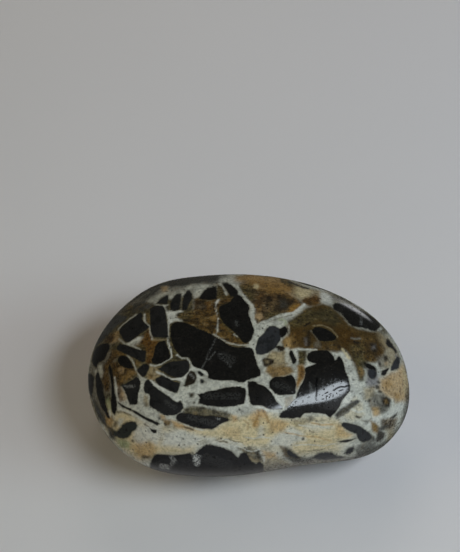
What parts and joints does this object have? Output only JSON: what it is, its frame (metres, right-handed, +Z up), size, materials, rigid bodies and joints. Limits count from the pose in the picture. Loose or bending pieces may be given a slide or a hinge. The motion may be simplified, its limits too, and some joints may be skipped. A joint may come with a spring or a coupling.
{
  "type": "brecciated jasper pebble",
  "caption": "Tumbled and polished pebble of brecciated jasper, one solid stone with dark angular fragments in a pale and ochre ground, resting on a small flat.",
  "frame": {"origin": "on the resting flat, under the middle of the stone's box", "axes": "+X along the length towards the narrower end, -Y towards the steeper flank, +Z up"},
  "size_m": [0.0644, 0.0444, 0.0287],
  "materials": {
    "polished_jasper": "polished to a gloss, dark angular fragments in a cream, grey-green and ochre ground"
  },
  "bodies": {
    "root": {"pebble": "polished_jasper"}
  },
  "joints": []
}
